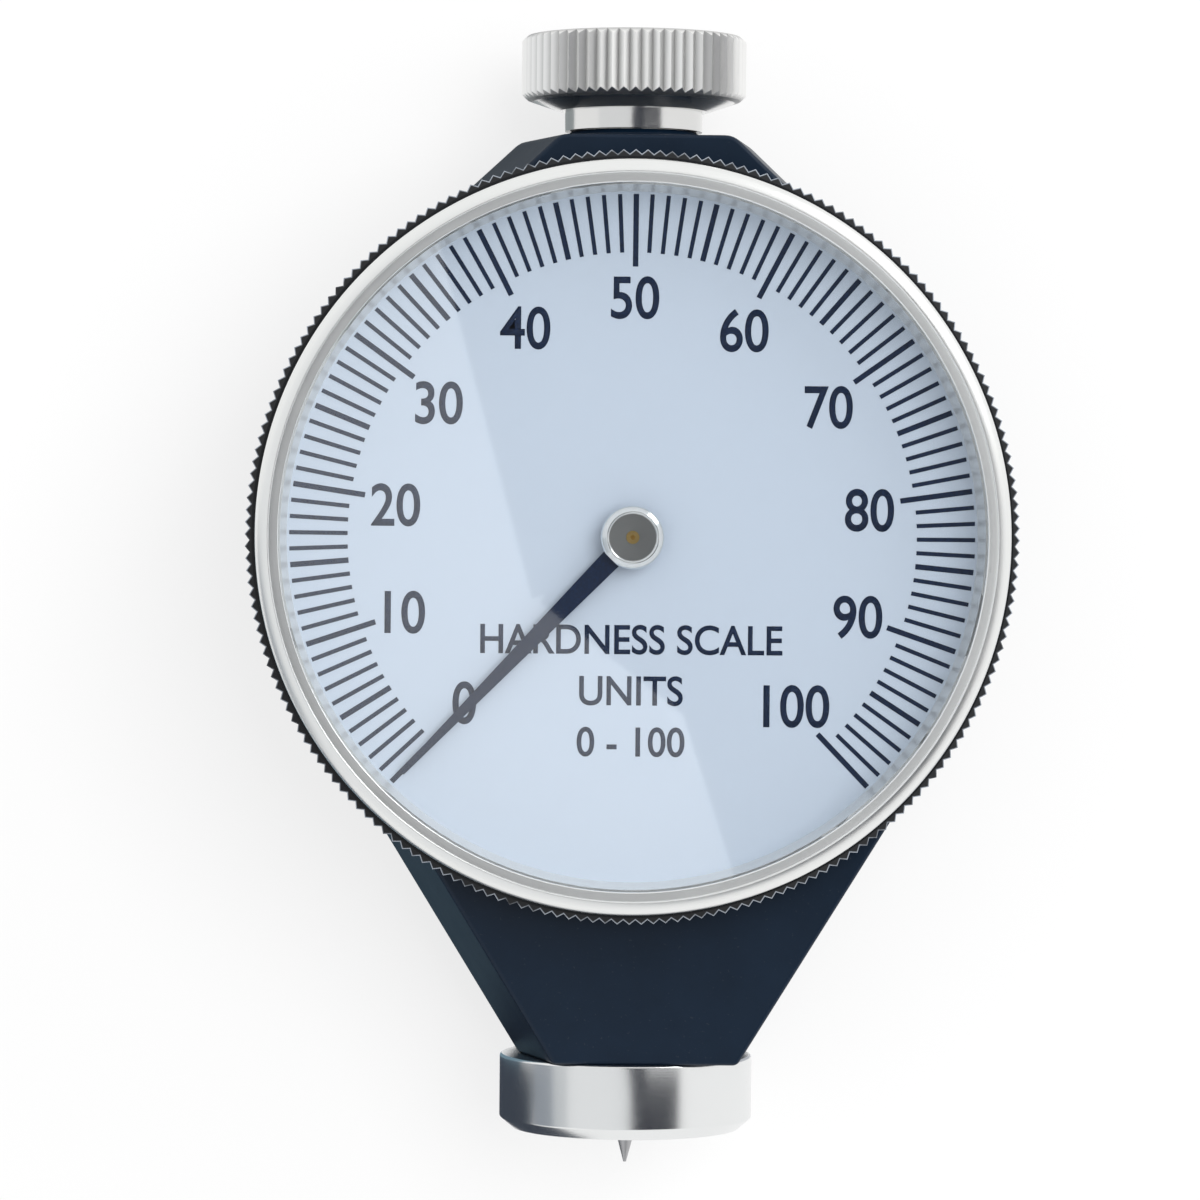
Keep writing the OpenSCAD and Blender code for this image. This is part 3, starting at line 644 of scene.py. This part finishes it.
def measure_words(words):
    """Width and height of words in the built-in letters at size 1."""
    extent = set_words(words).dimensions.copy()
    bpy.ops.object.delete()
    return extent


def join_pieces(pieces):
    """Joins several meshes into the first."""
    start_piece()
    for piece in pieces:
        piece.select_set(True)
    bpy.context.view_layer.objects.active = pieces[0]
    bpy.ops.object.join()


class GAUGE_OT_scale_numbers(bpy.types.Operator):
    """Prints the numbers of the scale, upright at their marks"""

    bl_idname = "gauge.scale_numbers"
    bl_label = "Scale numbers"

    def execute(self, context):
        sizes = context.scene.gauge_sizes
        extent = measure_words("50")
        scale = (sizes.number_w / extent.x, sizes.number_h / extent.y)
        drop_rate = 1.65
        numbers = []
        for value in range(0, sizes.divisions + 1, 10):
            turn = sizes.zero_angle - sizes.sweep * value / sizes.divisions
            drop = sizes.number_drop * math.sin(drop_rate * abs(turn - math.pi / 2))
            outward = Vector((math.cos(turn), math.sin(turn), 0))
            place = outward * sizes.number_r + Vector((0, -drop, DIAL_TOP))
            numbers.append(print_words(str(value), place, scale, sizes.ink_t))
        join_pieces(numbers)
        end_piece("scale_numbers", "bezel_body", finish_named("pointer_paint_finish"))
        return {"FINISHED"}


class GAUGE_OT_caption(bpy.types.Operator):
    """Prints three plain lines under the axis that say what the dial shows"""

    bl_idname = "gauge.caption"
    bl_label = "Caption"

    def execute(self, context):
        sizes = context.scene.gauge_sizes
        extent = measure_words("H")
        narrow = 0.92
        high = sizes.caption_h / extent.y
        lines = []
        for row, words in enumerate(("HARDNESS SCALE", "UNITS", "0 - 100")):
            place = Vector((0, sizes.caption_y - sizes.caption_gap * row, DIAL_TOP))
            lines.append(print_words(words, place, (narrow * high, high), sizes.ink_t))
        join_pieces(lines)
        end_piece("dial_caption", "bezel_body", finish_named("pointer_paint_finish"))
        return {"FINISHED"}


class GAUGE_OT_chrome_bezel(bpy.types.Operator):
    """Turns the plated bezel: a dome that falls to its outer edge and a low lip over the crystal"""

    bl_idname = "gauge.chrome_bezel"
    bl_label = "Chrome bezel"

    def execute(self, context):
        lip_r = GLASS_R - 0.43 * MM
        lip_top = GLASS_TOP + 0.28 * MM
        lip_rise = 0.06 * MM
        lip_foot = GLASS_TOP + 0.01 * MM
        bore = GLASS_R + 0.05 * MM
        crest_r = BEZEL_R - 0.98 * MM
        edge = 0.10 * MM
        tilt = math.radians(15)
        lip_tilt = math.radians(6)
        ratio = 0.6
        dome_steps = 20
        start = math.atan(ratio / math.tan(tilt))
        dome_w = (BEZEL_R - crest_r - edge * (1 + math.sin(tilt))) / (1 - math.cos(start))
        dome_h = dome_w * ratio
        dome_foot = BEZEL_TOP - edge * (1 - math.cos(tilt)) - dome_h * math.sin(start)
        outline = [(bore, GLASS_TOP), (bore, BEZEL_FOOT)]
        outline += [(BEZEL_R - edge, BEZEL_FOOT), (BEZEL_R, BEZEL_FOOT + edge)]
        dome = arc((0, 0), 1, 0, math.degrees(start), dome_steps)
        outline += [(BEZEL_R - dome_w * (1 - x), dome_foot + dome_h * y) for x, y in dome]
        crest = arc((crest_r + edge, BEZEL_TOP - edge), edge, 90 - math.degrees(tilt), 180, EDGE_STEPS)
        outline += crest[1:] + [(crest_r, lip_top + lip_rise)]
        outline += arc((lip_r + edge, lip_top - edge), edge, 90 - math.degrees(lip_tilt), 180, EDGE_STEPS)
        outline += [(lip_r, lip_foot), (bore, GLASS_TOP)]
        turn_outline(outline, Vector(), UP, steps=256)
        chrome = finish_named("chrome_finish")
        smooth = math.radians(40)
        end_piece("bezel_rim", "bezel_body", chrome, smooth, ("chrome_bezel",))
        return {"FINISHED"}


class GAUGE_OT_pointer_hub(bpy.types.Operator):
    """Turns the pointer's hub with its bright bevel and sunk face"""

    bl_idname = "gauge.pointer_hub"
    bl_label = "Pointer hub"

    def execute(self, context):
        bore = 0.46 * MM
        neck = 1.1 * MM
        face_r = HUB_R - 0.55 * MM
        face_edge = face_r - 0.06 * MM
        edge = 0.10 * MM
        bevel_r = 0.35 * MM
        crest_r = 0.12 * MM
        slope = 50
        bevel_z = HUB_TOP - 0.42 * MM
        face_z = HUB_TOP - 0.10 * MM
        bore_z = HUB_TOP - 0.06 * MM
        outline = [(bore, HUB_FOOT), (neck, HUB_FOOT), (neck, BLADE_TOP), (HUB_R - edge, BLADE_TOP)]
        outline += [(HUB_R, BLADE_TOP + edge)]
        outline += arc((HUB_R - bevel_r, bevel_z), bevel_r, 0, slope, EDGE_STEPS)
        outline += arc((face_r + crest_r, HUB_TOP - crest_r), crest_r, slope, 180 - slope, EDGE_STEPS)
        outline += [(face_edge, face_z), (bore, bore_z), (bore, HUB_FOOT)]
        turn_outline(outline, Vector(), UP, steps=96)
        colours = context.scene.gauge_colours
        plated = hub_chrome("hub_chrome_finish", colours.chrome, colours.hub)
        smooth = math.radians(35)
        end_piece("hub_cap", "pointer_body", plated, smooth, ("pointer_hub",))
        return {"FINISHED"}


class GAUGE_OT_presser_foot(bpy.types.Operator):
    """Turns the polished foot with softened edges, its needle hole and its spigot"""

    bl_idname = "gauge.presser_foot"
    bl_label = "Presser foot"

    def execute(self, context):
        edge = 0.22 * MM
        sole_edge = 0.2 * MM
        sole_steps = 4
        hole_edge = 0.15 * MM
        chamfer = 0.8 * MM
        hole = 1.6 * MM
        bore = 2.8 * MM
        spigot = 5.0 * MM
        floor = FOOT_SOLE + 1.6 * MM
        rim_foot = FOOT_SOLE + chamfer + 0.1 * MM
        outline = [(hole, floor), (hole, FOOT_SOLE + hole_edge), (hole + hole_edge, FOOT_SOLE)]
        outline += arc((FOOT_R - chamfer - sole_edge, FOOT_SOLE + sole_edge), sole_edge, -90, -45, sole_steps)
        outline += arc((FOOT_R - edge, rim_foot), edge, -45, 0, sole_steps)
        outline += arc((FOOT_R - edge, FOOT_SHOULDER - edge), edge, 0, 90, EDGE_STEPS)
        outline += [(spigot, FOOT_SHOULDER), (spigot, FOOT_END), (bore, FOOT_END)]
        outline += [(bore, floor), (hole, floor)]
        turn_outline(outline, Vector((0, 0, STEM_Z)), ALONG, steps=128)
        steel = finish_named("polished_steel_finish")
        smooth = math.radians(30)
        end_piece("foot_ring", "housing_body", steel, smooth, ("presser_foot",))
        return {"FINISHED"}


class GAUGE_OT_housing(bpy.types.Operator):
    """Softens the outer edges of the painted casting"""

    bl_idname = "gauge.housing"
    bl_label = "Housing"

    def execute(self, context):
        edge = context.scene.gauge_sizes.edge
        flat_angle = math.radians(0.2)
        bend_angle = math.radians(12)
        drum_r = BEZEL_R - 0.6 * MM
        bore_r = 5.6 * MM
        piece = copy_node("housing")
        bpy.ops.object.mode_set(mode="EDIT")
        bpy.ops.mesh.select_all(action="SELECT")
        bpy.ops.mesh.dissolve_limited(angle_limit=flat_angle)
        bpy.ops.mesh.select_all(action="DESELECT")
        bpy.ops.mesh.select_mode(type="EDGE")
        bpy.ops.mesh.edges_select_sharp(sharpness=bend_angle)
        bpy.ops.object.mode_set(mode="OBJECT")
        points = piece.data.vertices
        for line in piece.data.edges:
            middle = (points[line.vertices[0]].co + points[line.vertices[1]].co) / 2
            outside = math.hypot(middle.x, middle.y) > drum_r
            in_bore = math.hypot(middle.x, middle.z - STEM_Z) < bore_r
            line.select = line.select and outside and not in_bore
        bpy.ops.object.mode_set(mode="EDIT")
        bpy.ops.mesh.bevel(offset=edge, segments=3, affect="EDGES", clamp_overlap=False)
        bpy.ops.object.mode_set(mode="OBJECT")
        paint = finish_named("black_paint_finish")
        smooth = math.radians(30)
        end_piece("painted_casting", "housing_body", paint, smooth, ("housing",))
        bpy.context.view_layer.objects.active = piece
        flat = piece.modifiers.new("Flat faces", "WEIGHTED_NORMAL")
        flat.keep_sharp = True
        bpy.ops.object.modifier_apply(modifier=flat.name)
        return {"FINISHED"}


class GAUGE_OT_coil_spring(bpy.types.Operator):
    """Rounds the wire of the calibrated spring; the real spring shortens as the needle is pressed in, but
    this piece keeps its length
    """

    bl_idname = "gauge.coil_spring"
    bl_label = "Coil spring"

    def execute(self, context):
        piece = copy_node("calibrated_spring")
        bpy.ops.object.mode_set(mode="EDIT")
        bpy.ops.mesh.select_all(action="SELECT")
        bpy.ops.mesh.tris_convert_to_quads()
        bpy.ops.object.mode_set(mode="OBJECT")
        rounding = piece.modifiers.new("Rounding", "SUBSURF")
        rounding.levels = 2
        rounding.render_levels = 2
        bpy.ops.object.modifier_apply(modifier=rounding.name)
        steel = finish_named("spring_steel_finish")
        smooth = math.radians(60)
        end_piece("coil_wire", "housing_body", steel, smooth, ("calibrated_spring",))
        keep = (SPRING_LEN - TRAVEL) / SPRING_LEN
        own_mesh(piece)
        return {"FINISHED"}


DARK = (0.06, 0.065, 0.08)
NIGHT = (0.015, 0.018, 0.03)
LAID = 0.5 * MM
# Name, middle, width and depth, linear colour, turn and stand in degrees.
CARDS = (
    # Overhead, mirrored by the crystal, with a pale wedge left open.
    ("dark_card_above", (0.0333, 0.0455, 0.400), (0.110, 0.085), DARK, 15.2, 0),
    ("dark_card_below", (0.0634, -0.0032, 0.401), (0.110, 0.085), DARK, 18.2, 0),
    ("dark_card_between", (0.0090, -0.0106, 0.402), (0.0263, 0.020), DARK, -37.6, 0),
    ("grey_card_above", (-0.268, -0.141, 0.41), (0.60, 1.00), (0.86, 0.87, 0.88), 28, 0),
    # Overhead, mirrored as the dark stripes of the foot and of the knob's collar.
    ("dark_strip_foot", (0.2413, -0.1800, 0.403), (0.4175, 0.300), NIGHT, 0, 0),
    ("dark_strip_knob", (0.1900, 0.1050, 0.403), (0.4200, 0.130), NIGHT, 0, 0),
    # To the left, mirrored by the left half of the foot.
    ("dark_card_foot", (-0.050, -0.06125, LAID), (0.080, 0.0465), (0.05, 0.06, 0.08), 0, 0),
    ("grey_card_foot", (-0.340, -0.06125, LAID), (0.50, 0.0465), (0.15, 0.165, 0.185), 0, 0),
    ("dark_card_side", (-0.35, -0.125, 0.07), (0.23, 0.14), (0.30, 0.33, 0.37), 90, 90),
    ("grey_card_side", (-0.35, -0.125, 0.20), (0.23, 0.12), (0.60, 0.62, 0.64), 90, 90),
    # Beside the casting, mirrored by its facets.
    ("grey_card_left", (-0.028, -0.0180, LAID), (0.036, 0.0400), (0.18, 0.27, 0.33), 0, 0),
    ("grey_card_right", (0.028, -0.0170, LAID), (0.036, 0.038), (0.50, 0.52, 0.56), 0, 0),
    ("grey_card_shoulder", (-0.0140, 0.0325, LAID), (0.018, 0.014), (0.32, 0.35, 0.36), 43, 0),
)


class GAUGE_OT_stage(bpy.types.Operator):
    """Sets the floor, sky, lamps, cards and camera"""

    bl_idname = "gauge.stage"
    bl_label = "Studio"

    def floor(self):
        """A white floor that keeps the shadow of the gauge."""
        size = 8
        below = 0.05 * MM
        own_light = 0.72
        bpy.ops.mesh.primitive_plane_add(size=size, location=(0, 0, -below))
        plane = bpy.context.object
        plane.name = "studio_floor"
        f = Finish(bpy.data.materials.new("studio_floor_finish"))
        glossy = f.ray("Glossy")
        mirrored = glossy.math("MAXIMUM", glossy, f.ray("Transmission"))
        part = mirrored.math("MAXIMUM", f.ray("Camera") * own_light, mirrored)
        matt = f.node("ShaderNodeBsdfDiffuse", None, {"Color": (0.9, 0.9, 0.9, 1.0)})
        white = f.node("ShaderNodeEmission", None, {"Color": (1.0, 1.0, 1.0, 1.0), "Strength": 1.0})
        mix = f.node("ShaderNodeMixShader", None, {0: part, 1: matt, 2: white})
        plane.data.materials.append(f.surface(mix))

    def sky(self, scene, fill):
        """White to the eye, to metal and to glass, and softer on matt surfaces."""
        scene.world = bpy.data.worlds.new("studio_sky")
        f = Finish(scene.world)
        seen = f.ray("Camera") + f.ray("Glossy") + f.ray("Transmission")
        strength = f.ramp(seen, 0.0, 1.0) * (1.0 - fill) + fill
        f.surface(f.node("ShaderNodeBackground", None, {"Color": (1.0, 1.0, 1.0, 1.0), "Strength": strength}))

    def lamp(self, name, place, size, power, shines):
        """A square soft lamp that looks at the gauge."""
        place = Vector(place)
        turn = (Vector((0, 0, STEM_Z)) - place).to_track_quat("-Z", "Y").to_euler()
        bpy.ops.object.light_add(type="AREA", location=place, rotation=turn)
        lamp = bpy.context.object
        lamp.name = name
        lamp.data.size = size
        lamp.data.energy = power
        lamp.visible_glossy = shines

    def card(self, name, middle, size, level, turn, stand):
        """A flat card that only metal and gloss see, stood up and then turned by some degrees."""
        turns = (math.radians(stand), 0, math.radians(turn))
        bpy.ops.mesh.primitive_plane_add(size=1, location=middle, rotation=turns)
        card = bpy.context.object
        card.name = name
        card.scale = (size[0], size[1], 1)
        bpy.ops.object.transform_apply(location=True, rotation=True, scale=True)
        f = Finish(bpy.data.materials.new(name + "_finish"))
        shade = (*level, 1.0)
        card.data.materials.append(f.surface(f.node("ShaderNodeEmission", None, {"Color": shade})))
        card.visible_camera = False
        card.visible_diffuse = False
        card.visible_shadow = False
        card.visible_transmission = False

    def camera(self, scene, stage):
        """A long lens over the dial."""
        place = Vector(stage.camera)
        back = (place - Vector(stage.aim)).normalized()
        right = ALONG.cross(back).normalized()
        look = Matrix((right, back.cross(right), back)).transposed().to_quaternion()
        turn = look @ Quaternion((0, 0, 1), stage.roll)
        bpy.ops.object.camera_add(location=place, rotation=turn.to_euler())
        camera = bpy.context.object
        camera.name = "studio_camera"
        camera.data.sensor_width = 36.0
        camera.data.lens = camera.data.sensor_width / 2 / math.tan(stage.field / 2)
        camera.data.clip_start = 0.01
        scene.camera = camera

    def execute(self, context):
        scene = context.scene
        stage = scene.gauge_stage
        start_piece()
        self.floor()
        self.sky(scene, stage.fill)
        self.lamp("key_lamp", (0.30, 0.17, 0.84), 0.5, stage.key, False)
        self.lamp("rim_lamp", (0.50, 0.45, 0.35), 0.3, stage.rim, True)
        for card in CARDS:
            self.card(*card)
        self.camera(scene, stage)
        scene.view_settings.view_transform = "Standard"
        bpy.ops.object.select_all(action="DESELECT")
        return {"FINISHED"}


STEPS = (
    GAUGE_OT_finishes,
    GAUGE_OT_scale_marks,
    GAUGE_OT_scale_numbers,
    GAUGE_OT_caption,
    GAUGE_OT_chrome_bezel,
    GAUGE_OT_pointer_hub,
    GAUGE_OT_presser_foot,
    GAUGE_OT_housing,
    GAUGE_OT_coil_spring,
    GAUGE_OT_stage,
)


class GAUGE_PT_panel(bpy.types.Panel):
    """Lists the steps that dress the gauge"""

    bl_idname = "GAUGE_PT_panel"
    bl_label = "Dial hardness gauge"
    bl_space_type = "VIEW_3D"
    bl_region_type = "UI"
    bl_category = "Gauge"

    def draw(self, context):
        for step in STEPS:
            self.layout.operator(step.bl_idname)
        for group in ("gauge_sizes", "gauge_colours", "gauge_stage"):
            settings = getattr(context.scene, group)
            box = self.layout.box()
            for key in settings.bl_rna.properties.keys():
                if key not in ("rna_type", "name"):
                    box.prop(settings, key)


GROUPS = {"gauge_sizes": GaugeSizes, "gauge_colours": GaugeColours, "gauge_stage": GaugeStage}


def register():
    for cls in (*GROUPS.values(), *STEPS, GAUGE_PT_panel):
        bpy.utils.register_class(cls)
    for name, group in GROUPS.items():
        setattr(bpy.types.Scene, name, PointerProperty(type=group))


def unregister():
    for name in GROUPS:
        delattr(bpy.types.Scene, name)
    for cls in (GAUGE_PT_panel, *reversed(STEPS), *GROUPS.values()):
        bpy.utils.unregister_class(cls)


def main():
    register()
    bpy.ops.gauge.finishes()
    bpy.ops.gauge.scale_marks()
    bpy.ops.gauge.scale_numbers()
    bpy.ops.gauge.caption()
    bpy.ops.gauge.chrome_bezel()
    bpy.ops.gauge.pointer_hub()
    bpy.ops.gauge.presser_foot()
    bpy.ops.gauge.housing()
    bpy.ops.gauge.coil_spring()
    bpy.ops.gauge.stage()


if __name__ == "__main__":
    main()
